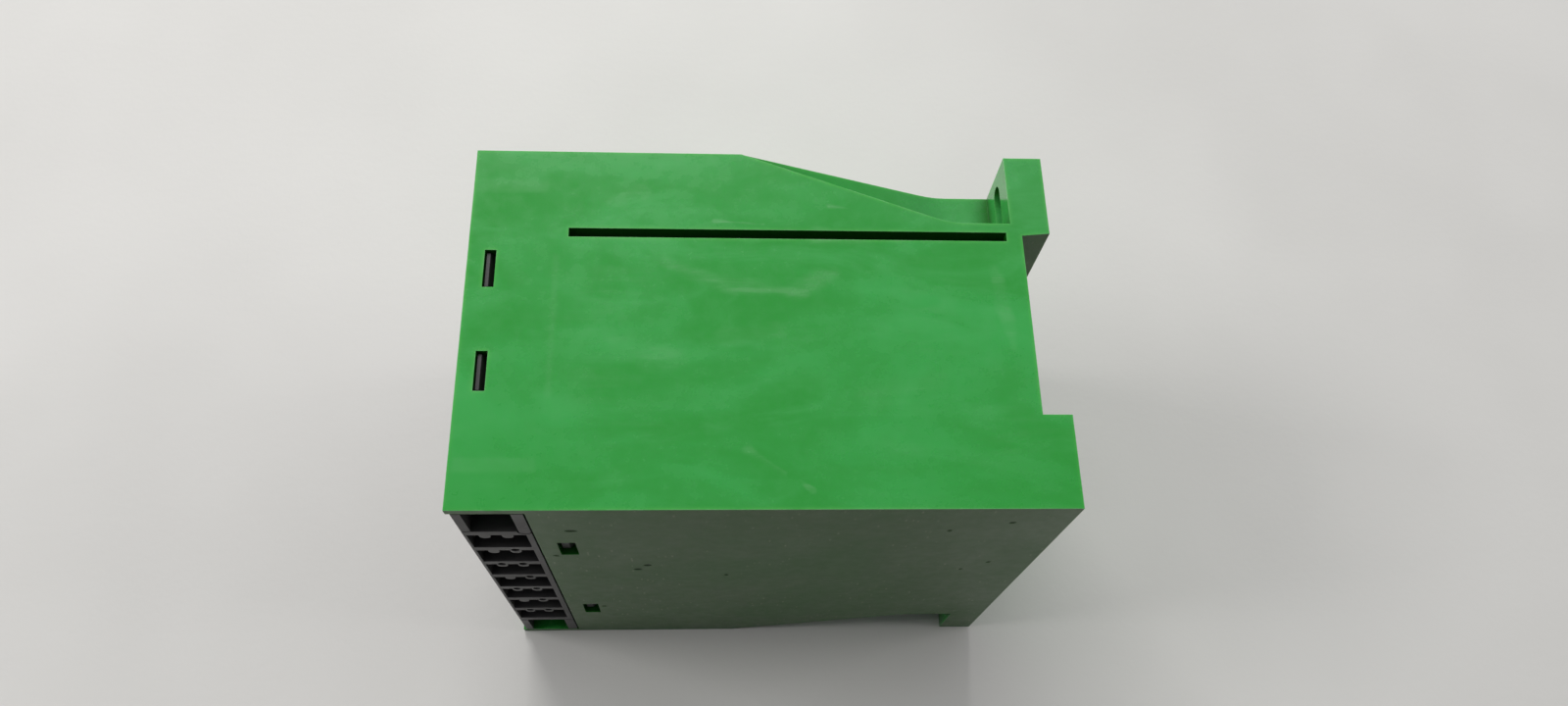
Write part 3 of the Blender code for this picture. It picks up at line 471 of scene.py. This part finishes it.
def board_material():
    """Green solder mask over copper tracks, with rows of plated holes."""
    g = Graph("circuit_board")
    tracks = g.cells(260.0, "DISTANCE_TO_EDGE", g.stretched((1.0, 1.0, 1.0)))
    copper = g.ramp(tracks, 0.10, 0.16, 1.0, 0.0)
    colour = g.mix(copper, (0.010, 0.085, 0.035), (0.022, 0.15, 0.055))
    holes = g.cells(390.0)
    pads = g.ramp(holes, 0.10, 0.13, 1.0, 0.0)
    few = g.ramp(g.noise(80.0, 1.0), 0.55, 0.60)
    colour = g.mix(g.math("MULTIPLY", pads, few), colour, (0.55, 0.55, 0.52))
    normal = g.bump(copper, 0.00004, 0.5)
    return g.finish(colour, g.ramp(g.noise(90.0), 0.3, 0.7, 0.25, 0.38), normal, Coat_Weight=0.3)


def coated(name, dark, light, rough, scale=180.0, coat=0.3):
    """Dipped or moulded resin: slightly uneven colour and skin."""
    g = Graph(name)
    clouds = g.noise(scale, 4.0, 0.6)
    colour = g.mix(g.ramp(clouds, 0.35, 0.68), dark, light)
    rub = g.ramp(g.edges(0.0004), 0.02, 0.3)
    colour = g.mix(g.math("MULTIPLY", rub, 0.25), colour, tuple(min(1.0, 2.0 * c) for c in light))
    normal = g.bump(g.noise(scale * 4, 3.0), 0.00003, 0.4)
    return g.finish(colour, g.ramp(clouds, 0.3, 0.7, rough - 0.05, rough + 0.08), normal, Coat_Weight=coat)


def floor_material():
    """A plain pale table with faint clouds and grain."""
    g = Graph("pale_floor")
    clouds = g.noise(9.0, 3.0)
    colour = g.mix(g.ramp(clouds, 0.3, 0.7), (0.60, 0.595, 0.58), (0.64, 0.635, 0.62))
    normal = g.bump(g.noise(420.0, 3.0), 0.0002, 0.25)
    return g.finish(colour, 0.55, normal, Specular_IOR_Level=0.3)


FINISHES = {
    "housing_plastic": housing_material(),
    "frame_plastic": black_plastic("black_frame", (0.030, 0.029, 0.030), (0.048, 0.046, 0.047), 0.48),
    "cover_plastic": cover_material(),
    "strip_plastic": strip_material(),
    "lens": lens_material(),
    "tinned_metal": metal(
        "tinned_contacts", (0.60, 0.59, 0.56), (0.82, 0.81, 0.78), 0.28, 900.0, (0.2, 1.0, 1.0)
    ),
    "board": board_material(),
    "aluminium": metal(
        "extruded_aluminium", (0.52, 0.53, 0.54), (0.72, 0.73, 0.74), 0.36, 700.0, (0.04, 1.0, 1.0)
    ),
    "module_resin": black_plastic("module_resin", (0.014, 0.014, 0.015), (0.024, 0.024, 0.026), 0.5),
    "pad_rubber": coated("silicone_pad", (0.34, 0.36, 0.39), (0.44, 0.46, 0.49), 0.75, 220.0, 0.0),
    "varistor_resin": coated("varistor_resin", (0.015, 0.06, 0.26), (0.03, 0.10, 0.38), 0.35),
    "capacitor_resin": coated("capacitor_case", (0.46, 0.27, 0.04), (0.58, 0.36, 0.06), 0.3),
    "resistor_ceramic": coated("resistor_lacquer", (0.46, 0.41, 0.30), (0.58, 0.53, 0.40), 0.45),
    "spring_steel": metal("zinc_steel", (0.44, 0.44, 0.45), (0.66, 0.66, 0.66), 0.3, 800.0),
}


# ---------------------------------------------------------------- edges and finishes of the CAD pieces


def smoothing_group(angle):
    """Geometry nodes that shade a mesh smooth, with sharp edges where the surface turns by more than angle."""
    group = bpy.data.node_groups.new("smooth_rounds", "GeometryNodeTree")
    group.interface.new_socket("Geometry", in_out="INPUT", socket_type="NodeSocketGeometry")
    group.interface.new_socket("Geometry", in_out="OUTPUT", socket_type="NodeSocketGeometry")
    nodes, link = group.nodes, group.links.new
    entry, leave = nodes.new("NodeGroupInput"), nodes.new("NodeGroupOutput")
    faces, edges = nodes.new("GeometryNodeSetShadeSmooth"), nodes.new("GeometryNodeSetShadeSmooth")
    edges.domain = "EDGE"
    turn = nodes.new("GeometryNodeInputMeshEdgeAngle")
    gentle = nodes.new("FunctionNodeCompare")
    gentle.operation = "LESS_THAN"
    gentle.inputs[1].default_value = angle
    link(entry.outputs[0], faces.inputs["Geometry"])
    link(faces.outputs[0], edges.inputs["Geometry"])
    link(turn.outputs["Unsigned Angle"], gentle.inputs[0])
    link(gentle.outputs[0], edges.inputs["Shade Smooth"])
    link(edges.outputs[0], leave.inputs[0])
    return group


SMOOTHING = smoothing_group(math.radians(38.0))
WELD_DISTANCE = 0.000002
FLAT_ANGLE = math.radians(0.5)


def round_edges(node, width, segments=2, angle=25.0, merge_flats=True):
    """Small radii on a CAD node's edges, as moulded or machined parts have. Its mesh stays as it is."""
    weld = node.modifiers.new("weld", "WELD")
    weld.merge_threshold = WELD_DISTANCE
    if merge_flats:
        flats = node.modifiers.new("flats", "DECIMATE")
        flats.decimate_type = "DISSOLVE"
        flats.angle_limit = FLAT_ANGLE
    bevel = node.modifiers.new("radii", "BEVEL")
    bevel.width = width
    bevel.segments = segments
    bevel.limit_method = "ANGLE"
    bevel.angle_limit = math.radians(angle)
    bevel.use_clamp_overlap = True
    node.modifiers.new("rounds", "NODES").node_group = SMOOTHING
    node.modifiers.new("normals", "WEIGHTED_NORMAL").keep_sharp = True


# Radii in metres by material; the pieces of every other material have the small one.
SMALL_EDGE = 0.00008
EDGE_WIDTHS = {
    "housing_plastic": 0.00028,
    "frame_plastic": 0.00014,
    "cover_plastic": 0.00025,
    "strip_plastic": 0.0001,
}

for entry in frame["record"]["subparts"]:
    node = NODES[entry["node"]]
    finish = entry["material_slot"]
    node.data.materials.clear()
    node.data.materials.append(FINISHES[finish])
    width = EDGE_WIDTHS.get(finish, SMALL_EDGE)
    round_edges(node, width, merge_flats=not entry["node"].startswith("header"))


# ---------------------------------------------------------------- spring

SPRING_WIRE = 0.00025
SPRING_TURNS = 5
STEPS_PER_TURN = 20


def coil_rise(turn, length):
    """How far along its length a spring's wire has come: its end turns lie closed, wire against wire."""
    closed = 2 * SPRING_WIRE
    if turn < 1:
        return turn * closed
    if turn > SPRING_TURNS - 1:
        return length - (SPRING_TURNS - turn) * closed
    return closed + (turn - 1) / (SPRING_TURNS - 2) * (length - 2 * closed)


def make_coil():
    """The rail catch's spring: a coil of wire fixed to the housing, shown in place of the catch_spring piece.
    """
    low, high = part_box("catch_spring")
    middle = (low + high) / 2
    radius = (high.x - low.x) / 2 - SPRING_WIRE
    length = high.y - low.y - 2 * SPRING_WIRE
    curve = bpy.data.curves.new("coil_path", "CURVE")
    curve.dimensions = "3D"
    curve.bevel_depth = SPRING_WIRE
    curve.bevel_resolution = 3
    curve.use_fill_caps = True
    steps = STEPS_PER_TURN * SPRING_TURNS
    spline = curve.splines.new("POLY")
    spline.points.add(steps)
    for step, point in enumerate(spline.points):
        turn = SPRING_TURNS * step / steps
        angle = 2 * math.pi * turn
        y = low.y + SPRING_WIRE + coil_rise(turn, length)
        point.co = (middle.x + radius * math.cos(angle), y, middle.z + radius * math.sin(angle), 1.0)
    holder = bpy.data.objects.new("coil_path", curve)
    bpy.context.scene.collection.objects.link(holder)
    graph = bpy.context.evaluated_depsgraph_get()
    mesh = bpy.data.meshes.new_from_object(holder.evaluated_get(graph))
    bpy.data.objects.remove(holder)
    mesh.shade_smooth()
    mesh.materials.clear()
    mesh.materials.append(FINISHES["spring_steel"])
    coil = bpy.data.objects.new("catch_coil", mesh)
    bpy.context.scene.collection.objects.link(coil)
    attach(coil, "housing")
    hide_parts("catch_spring")
    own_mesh(coil)


make_coil()


# ---------------------------------------------------------------- stage


FLOOR_REACH = 3.0
LIGHT_COLOUR = (1.0, 0.985, 0.965)
# Name, place, size in metres, power in watts.
LIGHTS = (
    ("far_window", (-0.18, 0.95, 0.80), (0.75, 0.45), 10.0),
    ("left_panel", (-0.85, 0.03, 0.75), (0.4, 0.4), 4.5),
    ("right_panel", (0.85, 0.03, 0.75), (0.4, 0.4), 2.0),
)


def make_floor():
    mesh = bpy.data.meshes.new("floor")
    reach = FLOOR_REACH
    corners = [(-reach, -reach, 0.0), (reach, -reach, 0.0), (reach, reach, 0.0), (-reach, reach, 0.0)]
    mesh.from_pydata(corners, [], [(0, 1, 2, 3)])
    mesh.materials.append(floor_material())
    floor = bpy.data.objects.new("floor", mesh)
    bpy.context.scene.collection.objects.link(floor)


def soft_light(name, place, size, power):
    """A rectangular light that faces the middle of the relay."""
    data = bpy.data.lights.new(name, "AREA")
    data.shape = "RECTANGLE"
    data.size, data.size_y = size
    data.energy = power
    data.color = LIGHT_COLOUR
    light = bpy.data.objects.new(name, data)
    light.location = place
    light.rotation_euler = (MIDDLE - Vector(place)).to_track_quat("-Z", "Y").to_euler()
    bpy.context.scene.collection.objects.link(light)


def room_world():
    """A dim room: light comes from above and from the far side, and little from the camera's side."""
    world = bpy.data.worlds.new("soft_room")
    world.use_nodes = True
    tree = world.node_tree
    place = tree.nodes.new("ShaderNodeTexCoord")
    facing = tree.nodes.new("ShaderNodeVectorMath")
    facing.operation = "DOT_PRODUCT"
    facing.inputs[1].default_value = Vector((-0.15, 0.80, 0.58)).normalized()
    tree.links.new(place.outputs["Generated"], facing.inputs[0])
    fade = tree.nodes.new("ShaderNodeMapRange")
    fade.interpolation_type = "SMOOTHSTEP"
    for socket, number in zip(fade.inputs[1:], (-0.35, 0.9, DARK_SIDE, BRIGHT_SIDE)):
        socket.default_value = number
    tree.links.new(facing.outputs["Value"], fade.inputs[0])
    background = tree.nodes["Background"]
    background.inputs["Color"].default_value = (0.97, 0.98, 1.0, 1.0)
    tree.links.new(fade.outputs[0], background.inputs["Strength"])
    bpy.context.scene.world = world


def make_lights():
    for name, place, size, power in LIGHTS:
        soft_light(name, place, size, power)
    room_world()


def make_camera():
    data = bpy.data.cameras.new("camera")
    data.sensor_fit = "HORIZONTAL"
    data.sensor_width = 36.0
    data.lens = CAMERA_LENS
    data.clip_start = 0.01
    camera = bpy.data.objects.new("camera", data)
    turn = Matrix.Rotation(CAMERA_AZIMUTH, 4, "Z")
    tilt = Matrix.Rotation(math.pi / 2 - CAMERA_ELEVATION, 4, "X")
    roll = Matrix.Rotation(CAMERA_ROLL, 4, "Z")
    camera.matrix_world = Matrix.Translation(CAMERA_PLACE) @ turn @ tilt @ roll
    bpy.context.scene.collection.objects.link(camera)
    bpy.context.scene.camera = camera


make_floor()
make_lights()
make_camera()
bpy.context.scene.view_settings.view_transform = "Standard"

bpy.context.view_layer.update()
